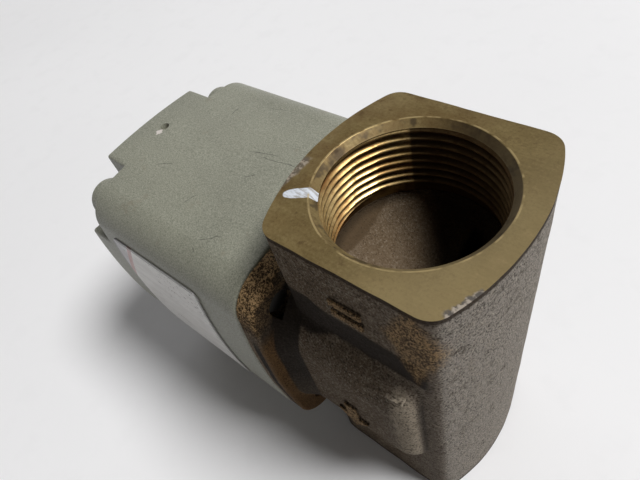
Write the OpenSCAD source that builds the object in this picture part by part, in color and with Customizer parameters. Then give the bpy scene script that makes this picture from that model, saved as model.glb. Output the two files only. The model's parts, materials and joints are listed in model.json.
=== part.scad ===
// Air-operated two-port shut-off valve with a spring-closed piston actuator.
// +Z runs up the port axis, the actuator points along -X, and the origin is the
// centre of the lower port's mouth, on which the valve stands.
// "Out" means the distance from the port axis along the actuator, towards -X.

/* [Valve body] */
// Distance between the two port faces
face_to_face = 110; // [106:1:120]
// Width of the port collars across their flats
collar_flats = 51; // [48:1:54]
// Length of the port collars along the actuator axis
collar_length = 52; // [50:1:56]
// Radius of the collars' rounded ends
collar_end_r = 57; // [45:1:80]
// Width of the round chamber between the collars
chamber_w = 62; // [58:1:66]
// Height of the chamber
chamber_h = 60; // [56:1:64]
// Radius of the chamber's long edges
chamber_edge_r = 18; // [10:1:24]
// How far the neck stands out round the chamber
neck_grow = 1.8; // [0.5:0.1:3]
// Distance from the port axis to the chamber's plain end
chamber_in = 16.4; // [14:0.1:17]
// Length of the neck
neck_l = 5; // [2:1:8]
// Thickness of the casing flange
flange_t = 6; // [5:0.5:10]
// Distance from the port axis to the flange's joint face
joint_out = 29.5; // [29:0.5:34]

/* [Ports] */
// Radius of the port bore at the thread crests (1 1/4 inch pipe thread)
port_minor_r = 19.475; // [19:0.005:20]
// Radius of the chamfer at the port mouth
port_mouth_r = 21.3; // [21:0.1:22]
// Length of the threaded wall in each port
port_thread_l = 18.5; // [16:0.5:20]
// Radius of the undercut behind the thread
undercut_r = 21; // [20.5:0.1:21.5]
// Length of the undercut
undercut_l = 3; // [2:0.5:5]
// Step inwards from the undercut to the cast passage
cast_step = 2.5; // [2:0.25:3]

/* [Flow passages] */
// Gap around the seat ring's collar in the stem-side chamber
collar_room = 1.5; // [1.3:0.1:1.8]
// Thickness of the wall that holds the seat
seat_wall = 6; // [5:0.5:7]
// Thickness of the cast floors between the passages
floor_t = 3.5; // [3:0.5:4.5]
// Wall left upright between the bowl-shaped upper floor and the port's undercut
bowl_room = 2.2; // [1:0.1:4]

/* [Seat and disc] */
// Radius of the opening in the seat
seat_bore_r = 12; // [11:0.25:12.5]
// Wall of the seat ring's shank
seat_shank_w = 2.2; // [1.8:0.1:2.4]
// Width of the collar beyond the shank, on which the gasket lies
seat_collar_w = 1.8; // [1.4:0.1:2]
// Thickness of the seat ring's collar
seat_collar_t = 2.5; // [2:0.25:3]
// Height of the sealing lip
seat_lip_h = 1; // [0.6:0.1:1.4]
// Thickness of the seat gasket
seat_gasket_t = 0.5; // [0.3:0.1:1]
// How far the disc seal reaches beyond the opening in the seat
disc_seal_reach = 3.2; // [2.8:0.1:3.3]
// Thickness of the disc seal
disc_seal_t = 2.5; // [2:0.25:3]
// Thickness of the disc holder behind its seal
disc_holder_t = 5; // [4:0.5:5.5]
// Thickness of the disc washer
disc_washer_t = 2; // [1.5:0.25:2.5]
// Opening stroke of the disc
lift = 10; // [8:0.5:10.5]

/* [Stem] */
// Radius of the stem where it slides
stem_r = 5; // [4.8:0.1:5.2]
// Radius of the stem's threaded ends
stem_thread_r = 4; // [3.6:0.1:4.2]
// Width of the hexagon nuts across their flats
nut_flats = 13; // [12:0.5:14]
// Height of the hexagon nuts
nut_h = 6.5; // [5:0.5:7]

/* [Bonnet] */
// Radius of the bonnet's spigot bore in the valve body
spigot_bore_r = 21; // [20:0.25:21.5]
// Length of the spigot bore
spigot_bore_l = 6.8; // [6:0.1:7.2]
// Thickness of the bonnet's clamped rim
rim_t = 5; // [4:0.5:6]
// Length of the bonnet's register in the cylinder bore
register_l = 6; // [5.5:0.5:8]
// Radius of the hub around the stem packing
hub_r = 13; // [12:0.5:14]
// Height of the hub above the register
hub_h = 6; // [5:0.5:8]
// Radius of the wiper recess
wiper_r = 8.5; // [8:0.1:9]
// Thickness of the wiper ring
wiper_t = 2.6; // [2:0.1:3]
// Radius of the stem bush
bush_r = 7; // [6.6:0.1:7.4]
// Length of the stem bush
bush_l = 6; // [4:0.5:7]
// Radius of the packing chamber
packing_r = 8; // [7.8:0.1:8.6]
// Height of one packing ring
packing_ring_h = 2; // [1.5:0.1:2.1]
// Number of packing rings
packing_count = 3; // [2:1:3]
// Radius of the gland nut's flange
gland_flange_r = 10.5; // [10:0.25:11.5]
// Radius of the two spanner holes in the gland nut
spanner_hole_r = 1.2; // [0.8:0.1:1.5]

/* [Cylinder casing] */
// Half width of the casing at the ends of its curved sides
casing_half = 36; // [35.5:0.25:38]
// How far each side bulges in its middle
casing_bow = 1.5; // [0.5:0.25:3]
// Corner radius of the casing
casing_corner_r = 11; // [9:0.5:12]
// Distance from the port axis to the screw shoulders
shoulder_out = 93.7; // [92:0.5:100]
// Length of the end block beyond the shoulders
end_block_l = 9.9; // [9:0.1:12]
// Gap between a screw head and the end block's arms beside it
arm_room = 0.8; // [0.5:0.1:2]
// Radius of the cylinder bore
bore_r = 30; // [29:0.25:30.25]
// Radius of the recess for the bonnet rim
rim_r = 31.5; // [31.25:0.05:31.7]
// Radius of the spring pocket in the end block
pocket_r = 21.5; // [21:0.25:22]
// Thickness of the walls around the hollow end block
end_wall = 5; // [4:0.5:7]
// Gap at the seam between casing and flange
seam_gap = 0.4; // [0.2:0.1:0.8]
// Radius of the air port (1/8 inch pipe thread, at the crests)
air_port_r = 4.283; // [4:0.001:4.5]
// Radius of the spot face around the air port
air_face_r = 8; // [7:0.5:9]
// Radius of the vent hole
vent_r = 1.5; // [1:0.1:2]

/* [Casing screws] */
// Distance of each screw from the actuator axis, sideways and upwards
screw_at = 26; // [25.8:0.1:27]
// Radius of the screw shank
screw_r = 4; // [3:0.25:4]
// Radius of the screw head
screw_head_r = 6.5; // [5.5:0.25:6.75]
// Height of the screw head
screw_head_h = 8; // [6:0.5:8.5]
// Width of the socket in the screw head
socket_flats = 6; // [5:0.5:6]
// Depth of the screw tips below the flange's open face
screw_recess = 1.5; // [0.5:0.25:2]

/* [Piston] */
// Thickness of the piston's rim
piston_l = 15; // [14:0.5:17]
// Thickness of the web that carries the return spring
piston_web = 9; // [8.5:0.25:10]
// Radius of the piston hub
piston_hub_r = 10.5; // [10:0.5:12]
// Height of the hub above the web
piston_hub_h = 3; // [2:0.5:5]
// Height of the piston seal
piston_seal_h = 4; // [3:0.25:4.25]
// Depth of the piston seal's groove
piston_seal_d = 4; // [3:0.25:4.25]
// Width of the wear ring
wear_ring_h = 3.2; // [2:0.1:3.4]

/* [Return spring] */
// Mean radius of the return spring
spring_r = 17.5; // [17:0.25:18]
// Radius of the spring wire
wire_r = 1.9; // [1.5:0.1:2.2]
// Number of turns
spring_turns = 5.5; // [4:0.5:6]
// Thickness of the spring plate
spring_plate_t = 2; // [1.5:0.25:3]
// Height of the spring plate's pilot inside the coil
pilot_h = 3; // [2:0.5:4]
// Radius of the hole in the spring plate
pilot_hole_r = 8; // [6:0.5:10]

/* [Name plate] */
// Length of the name plate along the casing
plate_l = 41; // [30:1:46]
// Height of the name plate
plate_h = 50; // [30:1:50]
// Thickness of the name plate
plate_t = 0.5; // [0.3:0.1:1]
// Distance from the port axis to the plate's near end
plate_out = 46; // [40:1:50]

/* [Hidden] */
$fn = 64;
eps = 0.01;
slip = 0.05;        // radial clearance of parts that slide or are pushed in
thread_gap = 0.05;  // radial clearance between a screw's crest and its hole
ring_gap = 0.05;    // clearance around seals in their grooves
seat_touch = 0.05;  // gap left at the sealing lip when closed
pilot_gap = 1.5;    // radial gap between the spring plate's pilot and the coil
plate_gap = 0.5;    // radial gap around the spring plate
axis_z = face_to_face / 2;
neck_out = joint_out - flange_t;
chamber_out = neck_out - neck_l;
port_mouth_l = port_mouth_r - port_minor_r;
cast_depth = port_mouth_l + port_thread_l + undercut_l;
cast_r = undercut_r - cast_step;
front_out = joint_out - spigot_bore_l;

// Seat and disc radii, each from the opening in the seat
lip_at = 0.7;
lip_w = 0.6;
lip_slope = 0.5;
seat_shank_r = seat_bore_r + seat_shank_w;
seat_collar_r = seat_shank_r + seat_collar_w;
disc_seal_r = seat_bore_r + disc_seal_reach;
front_r = seat_collar_r + collar_room;
bowl_low = axis_z + front_r + floor_t;
bowl_rise = face_to_face - cast_depth - bowl_room - bowl_low;

// Levels outwards along the stem
gasket_out = seat_gasket_t;
lip_out = gasket_out + seat_collar_t;
seal_out = lip_out + seat_lip_h + seat_touch;
holder_out = seal_out + disc_seal_t;
holder_back = holder_out + disc_holder_t;
washer_out = seal_out - disc_washer_t;
nut_out = washer_out - nut_h;
tip_out = nut_out - 1.5;
rim_out = joint_out + rim_t;
register_out = rim_out + register_l;
hub_out = register_out + hub_h;
spigot_out = front_out + 0.3;
wiper_l = wiper_t + 0.4;
bush_out = spigot_out + wiper_l + 1.5;
packing_out = bush_out + bush_l;
cup_spring_t = 0.8;
packing_washer_t = 1;
spring_stack = 2 * (cup_spring_t + 0.7);
washer_at = packing_out + spring_stack;
rings_at = washer_at + packing_washer_t;
gland_at = rings_at + packing_count * packing_ring_h + 0.3;
gland_flange_t = 2;
gland_top = hub_out + gland_flange_t;

piston_out = gland_top + 1;
web_out = piston_out + piston_web;
piston_back = piston_out + piston_l;
piston_hub_out = web_out + piston_hub_h;
piston_washer_t = 1.6;
piston_nut_out = piston_hub_out + piston_washer_t;
stem_end = piston_nut_out + nut_h + 2;
seal_groove_out = piston_out + 2.4;
wear_out = seal_groove_out + piston_seal_h + 2 * ring_gap + 1.8;
wear_d = 2;
hub_ring_r = 0.85;
body_ring_r = 1.25;
body_ring_out = (spigot_out + joint_out) / 2;
cylinder_ring_r = 1.3;
cylinder_ring_out = (rim_out + register_out) / 2;

casing_out = joint_out + seam_gap;
casing_reach = casing_half + casing_bow + 1;
arm_half = screw_at - screw_head_r - arm_room;
casing_end = shoulder_out + end_block_l;
bore_end = shoulder_out - end_wall;
pocket_end = casing_end - end_wall;
plate_spring_out = pocket_end - spring_plate_t;
air_out = (register_out + piston_out) / 2;
air_face_y = casing_half + casing_bow - 0.6;
vent_out = plate_spring_out - vent_r - 0.3;
side_r = (pow(casing_half - casing_corner_r, 2) + pow(casing_bow, 2)) / (2 * casing_bow);

// Places children on the actuator axis: their +Z becomes "out", their +X points up
module on_stem_axis(out = 0) {
    translate([-out, 0, axis_z]) rotate([0, -90, 0]) children();
}

// A plain ring on the actuator axis
module stem_ring(out, h, r_in, r_out) {
    on_stem_axis(out) difference() {
        cylinder(h = h, r = r_out);
        translate([0, 0, -1]) cylinder(h = h + 2, r = r_in);
    }
}

// A ring on the actuator axis, revolved from points [radius, out]
module stem_turned(points) {
    on_stem_axis() rotate_extrude() polygon(points);
}

// An O-ring of section radius r on the actuator axis
module stem_o_ring(out, ring_r, r) {
    on_stem_axis(out) rotate_extrude() translate([ring_r, 0]) circle(r = r, $fn = 32);
}

module hexagon_nut(out) {
    on_stem_axis(out) difference() {
        cylinder(h = nut_h, r = nut_flats / sqrt(3), $fn = 6);
        translate([0, 0, -1]) cylinder(h = nut_h + 2, r = stem_thread_r + thread_gap);
    }
}

module at_screws() {
    for (sy = [-1, 1], sz = [-1, 1])
        translate([sz * screw_at, sy * screw_at, 0]) children();
}

// Outline of the port collars: two flats and two rounded ends
module collar_outline(width) {
    shift = collar_end_r - collar_length / 2;
    intersection() {
        translate([-shift, 0]) circle(r = collar_end_r, $fn = 128);
        translate([shift, 0]) circle(r = collar_end_r, $fn = 128);
        square([collar_length + 2, width], center = true);
    }
}

// Outline of the casing and its flange: bowed sides and round corners
module casing_outline() {
    flat = casing_half - casing_corner_r;
    square([2 * casing_half, 2 * flat], center = true);
    square([2 * flat, 2 * casing_half], center = true);
    for (x = [-flat, flat], y = [-flat, flat])
        translate([x, y]) circle(r = casing_corner_r);
    for (turn = [0:90:270]) rotate(turn) intersection() {
        translate([casing_half + casing_bow - side_r, 0]) circle(r = side_r, $fn = 256);
        translate([casing_half - 1, -flat]) square([casing_bow + 2, 2 * flat]);
    }
}

// The stepped opening of one port, mouth at z = 0, cutting downwards
module port_cut() {
    rotate_extrude() polygon([
        [0, 1], [port_mouth_r, 1], [port_mouth_r, 0], [port_minor_r, -port_mouth_l],
        [port_minor_r, -port_mouth_l - port_thread_l],
        [undercut_r, -port_mouth_l - port_thread_l], [undercut_r, -cast_depth],
        [0, -cast_depth]]);
}

// Outline of the chamber, or of the neck that stands out round it
module chamber_outline(grow = 0) {
    a = chamber_h / 2 - chamber_edge_r;
    b = chamber_w / 2 - chamber_edge_r;
    square([chamber_h + 2 * grow, 2 * b], center = true);
    square([2 * a, chamber_w + 2 * grow], center = true);
    for (x = [-a, a], y = [-b, b]) translate([x, y]) circle(r = chamber_edge_r + grow);
}

// Passage from the upper port, down a bowl-shaped floor and behind the seat
module rear_passage() {
    bottom = axis_z - front_r - floor_t + 2;
    top = face_to_face - cast_depth + eps;
    steps = 8;
    rotate_extrude() polygon([
        for (k = [0:steps])
            [cast_r * k / steps, bowl_low + bowl_rise * pow(k / steps, 2.4)],
        [cast_r, top], [0, top]]);
    intersection() {
        translate([0, 0, bottom]) cylinder(h = face_to_face - cast_depth - bottom, r = cast_r);
        translate([seat_wall, -cast_r, bottom]) cube([cast_r, 2 * cast_r, face_to_face]);
    }
}

// Passage from the lower port, up into the stem-side chamber
module front_passage() {
    translate([0, 0, cast_depth - eps])
        cylinder(h = axis_z - front_r - 2 * floor_t + 2 - cast_depth, r = cast_r);
    intersection() {
        translate([0, 0, cast_depth - eps]) cylinder(h = axis_z - cast_depth, r = cast_r);
        translate([-cast_r, -front_r + 1, 0]) cube([cast_r, 2 * front_r - 2, axis_z]);
    }
}

module valve_body() {
    color("darkgoldenrod") difference() {
        union() {
            linear_extrude(face_to_face) collar_outline(collar_flats);
            on_stem_axis(-chamber_in) linear_extrude(chamber_in + chamber_out + 1) chamber_outline();
            on_stem_axis(chamber_out) linear_extrude(neck_l + 1) chamber_outline(neck_grow);
            on_stem_axis(neck_out) linear_extrude(flange_t) casing_outline();
        }
        translate([0, 0, face_to_face]) port_cut();
        mirror([0, 0, 1]) port_cut();
        rear_passage();
        front_passage();
        on_stem_axis() cylinder(h = joint_out + 1, r = front_r);
        on_stem_axis(front_out) cylinder(h = spigot_bore_l + 1, r = spigot_bore_r);
        on_stem_axis(-seat_wall - 1) cylinder(h = seat_wall + 2, r = seat_shank_r + thread_gap);
        on_stem_axis(neck_out - 1) at_screws() cylinder(h = flange_t + 2, r = screw_r + thread_gap);
    }
}

module seat_ring() {
    color("silver") stem_turned([
        [seat_bore_r, -seat_wall], [seat_shank_r, -seat_wall], [seat_shank_r, gasket_out],
        [seat_collar_r, gasket_out], [seat_collar_r, lip_out],
        [seat_bore_r + lip_at + lip_w + lip_slope, lip_out],
        [seat_bore_r + lip_at + lip_w, lip_out + seat_lip_h],
        [seat_bore_r + lip_at, lip_out + seat_lip_h], [seat_bore_r, lip_out]]);
}

module seat_gasket() {
    color("dimgray") stem_ring(0, seat_gasket_t, seat_shank_r + slip, seat_collar_r);
}

module disc_seal() {
    color("white") stem_ring(seal_out, disc_seal_t, stem_thread_r + slip, disc_seal_r);
}

module disc_holder() {
    edge = disc_seal_r + ring_gap;
    color("silver") stem_turned([
        [stem_thread_r + slip, holder_out], [edge, holder_out],
        [edge, seal_out + disc_seal_t / 3], [edge + 1, seal_out + disc_seal_t / 3],
        [edge + 1, holder_out + disc_holder_t / 2],
        [stem_r + 3, holder_back], [stem_thread_r + slip, holder_back]]);
}

module disc_washer() {
    color("silver") stem_ring(washer_out, disc_washer_t, stem_thread_r + slip, seat_bore_r - 1);
}

module disc_nut() {
    color("silver") hexagon_nut(nut_out);
}

module stem() {
    color("lightgray") stem_turned([
        [0, tip_out], [stem_thread_r - 0.5, tip_out], [stem_thread_r, tip_out + 0.5],
        [stem_thread_r, holder_back], [stem_r, holder_back], [stem_r, piston_out],
        [stem_thread_r, piston_out], [stem_thread_r, stem_end - 0.5],
        [stem_thread_r - 0.5, stem_end], [0, stem_end]]);
}

// Groove for an O-ring of section radius r, cut into a cylinder of radius at
module o_ring_groove(out, at, r) {
    on_stem_axis(out - r - ring_gap * 4) difference() {
        cylinder(h = 2 * r + ring_gap * 8, r = at + 1);
        translate([0, 0, -1]) cylinder(h = 2 * r + 2 + ring_gap * 8, r = at - 2 * r - ring_gap);
    }
}

module bonnet() {
    color("gainsboro") difference() {
        union() {
            on_stem_axis(spigot_out)
                cylinder(h = rim_out - spigot_out, r = spigot_bore_r - slip);
            on_stem_axis(joint_out) cylinder(h = rim_t, r = rim_r - slip);
            on_stem_axis(rim_out - 1) cylinder(h = register_l + 1, r = bore_r - slip);
            on_stem_axis(register_out - 1) cylinder(h = hub_h + 1, r = hub_r);
        }
        on_stem_axis(spigot_out - 1) cylinder(h = wiper_l + 1, r = wiper_r);
        on_stem_axis(spigot_out) cylinder(h = hub_out - spigot_out + 1, r = stem_r + 0.6);
        on_stem_axis(bush_out) cylinder(h = bush_l + 1, r = bush_r);
        on_stem_axis(packing_out) cylinder(h = hub_out - packing_out + 1, r = packing_r);
        o_ring_groove(body_ring_out, spigot_bore_r - slip, body_ring_r);
        o_ring_groove(cylinder_ring_out, bore_r - slip, cylinder_ring_r);
    }
}

module bonnet_body_seal() {
    color("dimgray") stem_o_ring(body_ring_out, spigot_bore_r - slip - body_ring_r, body_ring_r);
}

module bonnet_cylinder_seal() {
    color("dimgray") stem_o_ring(cylinder_ring_out, bore_r - slip - cylinder_ring_r, cylinder_ring_r);
}

module wiper_ring() {
    at = spigot_out + 0.3;
    color("seagreen") stem_turned([
        [stem_r + slip, at], [stem_r + 0.8, at], [stem_r + 1.4, at + wiper_t / 2],
        [wiper_r - slip, at + wiper_t / 2], [wiper_r - slip, at + wiper_t],
        [stem_r + slip, at + wiper_t]]);
}

module stem_bush() {
    color("goldenrod") stem_ring(bush_out, bush_l, stem_r + slip, bush_r - slip);
}

// Two dished spring washers, edge to edge
module packing_springs() {
    half = spring_stack / 2;
    inner = stem_r + 0.5;
    outer = packing_r - 0.1;
    color("silver") {
        stem_turned([
            [inner, packing_out], [inner + 0.6, packing_out],
            [outer, packing_out + half - cup_spring_t], [outer, packing_out + half],
            [inner, packing_out + cup_spring_t]]);
        stem_turned([
            [inner, packing_out + 2 * half - cup_spring_t], [outer, packing_out + half],
            [outer, packing_out + half + cup_spring_t],
            [inner + 0.6, packing_out + 2 * half], [inner, packing_out + 2 * half]]);
    }
}

module packing_washer() {
    color("goldenrod")
        stem_ring(washer_at, packing_washer_t, stem_r + 0.3, packing_r - slip);
}

// V-shaped packing rings, stacked
module packing_rings() {
    middle = (stem_r + packing_r) / 2;
    v = 0.5;
    color("white") for (k = [0:packing_count - 1]) {
        at = rings_at + k * packing_ring_h;
        stem_turned([
            [stem_r + slip, at], [middle, at + v], [packing_r - slip, at],
            [packing_r - slip, at + packing_ring_h - 0.05],
            [middle, at + packing_ring_h + v - 0.05], [stem_r + slip, at + packing_ring_h - 0.05]]);
    }
}

module gland_nut() {
    color("goldenrod") difference() {
        union() {
            stem_ring(gland_at + 0.3, hub_out - gland_at, stem_r + 0.2, packing_r - thread_gap);
            stem_ring(hub_out, gland_flange_t, stem_r + 0.2, gland_flange_r);
        }
        on_stem_axis(gland_top - gland_flange_t / 2) for (y = [-1, 1])
            translate([0, y * (gland_flange_r + stem_r) / 2, 0])
                cylinder(h = gland_flange_t, r = spanner_hole_r);
    }
}

module piston() {
    groove_r = bore_r - slip - piston_seal_d;
    color("lightsteelblue") difference() {
        on_stem_axis(piston_out) cylinder(h = piston_l, r = bore_r - 2 * slip);
        on_stem_axis(web_out) difference() {
            cylinder(h = piston_l, r = spring_r + wire_r + 1);
            translate([0, 0, -1]) cylinder(h = piston_hub_h + 1, r = piston_hub_r);
        }
        on_stem_axis(piston_out - 1) cylinder(h = piston_l + 2, r = stem_thread_r + slip);
        on_stem_axis(seal_groove_out) difference() {
            cylinder(h = piston_seal_h + 2 * ring_gap, r = bore_r + 1);
            translate([0, 0, -1]) cylinder(h = piston_seal_h + 2, r = groove_r);
        }
        on_stem_axis(wear_out) difference() {
            cylinder(h = wear_ring_h + 2 * ring_gap, r = bore_r + 1);
            translate([0, 0, -1]) cylinder(h = wear_ring_h + 2, r = bore_r - wear_d);
        }
        on_stem_axis(piston_out + piston_web / 2 - hub_ring_r - ring_gap)
            cylinder(h = 2 * (hub_ring_r + ring_gap), r = stem_thread_r + 2 * hub_ring_r + slip);
    }
}

// U-shaped lip seal that opens towards the air side
module piston_seal() {
    inner = bore_r - slip - piston_seal_d + ring_gap;
    outer = bore_r - slip;
    low = seal_groove_out + ring_gap;
    high = low + piston_seal_h;
    color("dimgray") stem_turned([
        [inner, low], [inner + 1.2, low], [(inner + outer) / 2, low + piston_seal_h / 2],
        [outer - 1.2, low], [outer, low], [outer, high], [inner, high]]);
}

module piston_wear_ring() {
    color("peru") stem_ring(wear_out + ring_gap, wear_ring_h, bore_r - wear_d + ring_gap, bore_r - slip);
}

module piston_hub_seal() {
    color("dimgray") stem_o_ring(piston_out + piston_web / 2, stem_thread_r + hub_ring_r + slip / 2,
        hub_ring_r - slip / 4);
}

module piston_washer() {
    color("silver")
        stem_ring(piston_hub_out, piston_washer_t, stem_thread_r + slip, nut_flats / 2 + 1.5);
}

module piston_nut() {
    color("silver") hexagon_nut(piston_nut_out);
}

// Coil between the piston web and the spring plate, with closed end turns
spring_steps = 20;
wire_sides = 10;
spring_low = web_out + wire_r;
spring_high = plate_spring_out - wire_r;
spring_rings = floor(spring_turns * spring_steps);
function coil_height(turn) =
    let (free = spring_turns - 1.5, t = min(max((turn - 0.75) / free, 0), 1))
    spring_low + (spring_high - spring_low) * t;
function coil_point(k, side) =
    let (turn = k / spring_steps, a = 360 * turn, b = 360 * side / wire_sides,
        r = spring_r + wire_r * cos(b))
    [r * cos(a), r * sin(a), coil_height(turn) + wire_r * sin(b)];

module return_spring() {
    points = [for (k = [0:spring_rings], side = [0:wire_sides - 1]) coil_point(k, side)];
    sides = [for (k = [0:spring_rings - 1], s = [0:wire_sides - 1])
        let (n = (s + 1) % wire_sides, a = k * wire_sides, b = a + wire_sides)
        [a + s, b + s, b + n, a + n]];
    last = spring_rings * wire_sides;
    start_cap = [[for (s = [0:wire_sides - 1]) s]];
    end_cap = [[for (s = [wire_sides - 1:-1:0]) last + s]];
    color("slategray") on_stem_axis() polyhedron(concat(points), concat(sides, start_cap, end_cap));
}

module spring_plate() {
    pilot_r = spring_r - wire_r - pilot_gap;
    color("silver") stem_turned([
        [pilot_hole_r, plate_spring_out - pilot_h], [pilot_r, plate_spring_out - pilot_h],
        [pilot_r, plate_spring_out], [pocket_r - plate_gap, plate_spring_out],
        [pocket_r - plate_gap, pocket_end], [pilot_hole_r, pocket_end]]);
}

module cylinder_casing() {
    color("darkseagreen") difference() {
        union() {
            on_stem_axis(casing_out) linear_extrude(shoulder_out - casing_out) casing_outline();
            on_stem_axis(shoulder_out - 1) linear_extrude(end_block_l + 1) intersection() {
                casing_outline();
                union() {
                    square([2 * casing_reach, 2 * arm_half], center = true);
                    square([2 * arm_half, 2 * casing_reach], center = true);
                }
            }
        }
        on_stem_axis(casing_out - 1) cylinder(h = bore_end - casing_out + 1, r = bore_r);
        on_stem_axis(casing_out - 1) cylinder(h = rim_out - casing_out + 1, r = rim_r);
        on_stem_axis(bore_end - 1) cylinder(h = pocket_end - bore_end + 1, r = pocket_r);
        on_stem_axis(bore_end - 1) linear_extrude(pocket_end - bore_end + 1) {
            square([2 * (casing_half - end_wall), 2 * (arm_half - end_wall)], center = true);
            square([2 * (arm_half - end_wall), 2 * (casing_half - end_wall)], center = true);
        }
        on_stem_axis(casing_out - 1) at_screws()
            cylinder(h = shoulder_out - casing_out + 2, r = screw_r + 0.2);
        translate([-air_out, casing_reach, axis_z]) rotate([90, 0, 0])
            cylinder(h = casing_half, r = air_port_r);
        translate([-air_out, air_face_y, axis_z]) rotate([-90, 0, 0])
            cylinder(h = casing_reach - air_face_y, r = air_face_r);
        translate([-vent_out, 0, axis_z]) cylinder(h = casing_reach, r = vent_r);
    }
}

module casing_screws() {
    tip = neck_out + screw_recess;
    color("darkseagreen") on_stem_axis() at_screws() difference() {
        union() {
            translate([0, 0, tip]) cylinder(h = shoulder_out - tip + 1, r = screw_r);
            translate([0, 0, shoulder_out]) cylinder(h = screw_head_h, r = screw_head_r);
        }
        translate([0, 0, shoulder_out + screw_head_h / 2])
            cylinder(h = screw_head_h, r = socket_flats / sqrt(3), $fn = 6);
    }
}

module vent_filter() {
    color("goldenrod") translate([-vent_out, 0, axis_z + casing_half - end_wall])
        cylinder(h = end_wall - 1, r = vent_r - slip);
}

// Thin plate that follows the bowed near side of the casing
module name_plate() {
    corner = 3;
    face = casing_half + casing_bow;
    color("white") intersection() {
        translate([-plate_out, 0, axis_z]) rotate([0, -90, 0]) linear_extrude(plate_l)
            translate([0, side_r - face]) difference() {
                circle(r = side_r + plate_t, $fn = 256);
                circle(r = side_r, $fn = 256);
            }
        translate([-plate_out - plate_l, -face, axis_z - plate_h / 2]) rotate([90, 0, 0])
            linear_extrude(4 * plate_t + 2 * casing_bow, center = true) {
                translate([corner, 0]) square([plate_l - 2 * corner, plate_h]);
                translate([0, corner]) square([plate_l, plate_h - 2 * corner]);
                for (x = [corner, plate_l - corner], y = [corner, plate_h - corner])
                    translate([x, y]) circle(r = corner);
            }
    }
}

valve_body();
seat_ring();
seat_gasket();
disc_seal();
disc_holder();
disc_washer();
disc_nut();
stem();
bonnet();
bonnet_body_seal();
bonnet_cylinder_seal();
wiper_ring();
stem_bush();
packing_springs();
packing_washer();
packing_rings();
gland_nut();
piston();
piston_seal();
piston_wear_ring();
piston_hub_seal();
piston_washer();
piston_nut();
return_spring();
spring_plate();
cylinder_casing();
casing_screws();
vent_filter();
name_plate();
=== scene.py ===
"""Air-operated two-port shut-off valve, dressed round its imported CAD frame."""
import json
import math

import bmesh
import bpy
import numpy as np
from mathutils import Matrix, Vector


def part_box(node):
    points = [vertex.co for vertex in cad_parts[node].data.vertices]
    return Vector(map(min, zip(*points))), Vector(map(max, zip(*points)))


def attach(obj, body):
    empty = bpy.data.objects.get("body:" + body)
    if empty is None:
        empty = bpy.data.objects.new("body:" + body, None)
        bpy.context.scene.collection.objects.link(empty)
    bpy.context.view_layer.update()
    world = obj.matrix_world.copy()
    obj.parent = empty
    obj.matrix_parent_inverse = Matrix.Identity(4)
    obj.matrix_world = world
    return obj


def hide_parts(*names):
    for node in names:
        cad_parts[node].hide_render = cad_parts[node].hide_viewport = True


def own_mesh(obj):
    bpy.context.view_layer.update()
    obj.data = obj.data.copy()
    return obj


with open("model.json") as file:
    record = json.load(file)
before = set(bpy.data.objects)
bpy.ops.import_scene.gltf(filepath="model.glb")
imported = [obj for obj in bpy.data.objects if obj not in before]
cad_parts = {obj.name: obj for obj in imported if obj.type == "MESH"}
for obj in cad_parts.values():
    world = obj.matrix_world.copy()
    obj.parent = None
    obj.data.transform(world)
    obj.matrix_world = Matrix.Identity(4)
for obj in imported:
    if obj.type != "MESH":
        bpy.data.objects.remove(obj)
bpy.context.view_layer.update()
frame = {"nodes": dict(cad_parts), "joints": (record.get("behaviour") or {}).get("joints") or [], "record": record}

MM = 0.001


def corners(node):
    """The lowest and the highest corner of a CAD node, in mm."""
    return [[round(v / MM, 3) for v in corner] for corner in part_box(node)]


def mount(name):
    """Radius and place of a mount, in mm."""
    found = next(m for m in frame["record"]["mounts"] if m["name"] == name)
    return found["dims"]["r_mm"], [round(v / MM, 3) for v in found["pos_m"]]


# ---------------------------------------------------------------- sizes from the frame, in mm
BODY_LOW, BODY_HIGH = corners("valve_body")
CASING_LOW, CASING_HIGH = corners("cylinder_casing")
SCREWS_LOW, SCREWS_HIGH = corners("casing_screws")
PLATE_LOW, PLATE_HIGH = corners("name_plate")
VENT_LOW, VENT_HIGH = corners("vent_filter")
MINOR, _ = mount("port_a")           # crest radius of the port thread
AIR_R, AIR_PLACE = mount("air_port")
HEIGHT = BODY_HIGH[2]                # between the port faces
AXIS_Z = HEIGHT / 2                  # height of the actuator axis
JOINT = -BODY_LOW[0]                 # plane between body and casing, as seen from the port axis
CASING_OUT, CASING_END = -CASING_HIGH[0], -CASING_LOW[0]
POCKET_END = -corners("spring_plate")[0][0]
VENT_AT = round(-(VENT_LOW[0] + VENT_HIGH[0]) / 2, 3)
AIR_AT, AIR_FACE = -AIR_PLACE[0], AIR_PLACE[1] + 1
LIFT = frame["joints"][0]
SPRING_HIGH = round(-LIFT["deforming_nodes"][0]["fixed_end_x_m"] / MM, 3)

# ---------------------------------------------------------------- sizes of the dressing, in mm
FLATS = 25.5             # half width of the port collars
COLLAR = 26.0            # half length of the port collars
END_R = 57.0             # radius of their rounded ends
MAJOR, PITCH = 20.955, 2.309
MOUTH_R = 21.3           # countersink at a port face
THREAD_START = 1.75      # depth of the first turn below a port face
THREAD_END = 20.325      # depth of the undercut below a port face
CAST_DEPTH = 23.325      # depth at which the cast passage starts
CAST_R = 18.5            # radius of the cast passage
UNDERCUT_R = 21.0
BOWL_LOW, BOWL_RISE = 76.0, 8.475            # middle and rim of the upper port's floor
CHAMBER_W, CHAMBER_H, CHAMBER_R = 62.0, 60.0, 18.0
CHAMBER_OUT, CHAMBER_IN = 18.5, 16.4         # its ends towards -X and +X
NECK_OUT = 23.5                              # inner face of the flange
PAD_X, PAD_Z = -4.4, 92.8                    # lower left corner of the two raised bars
ARROW_X, ARROW_Z = -3.5, 40.5                # middle of the raised arrow, and its lower end
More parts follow.
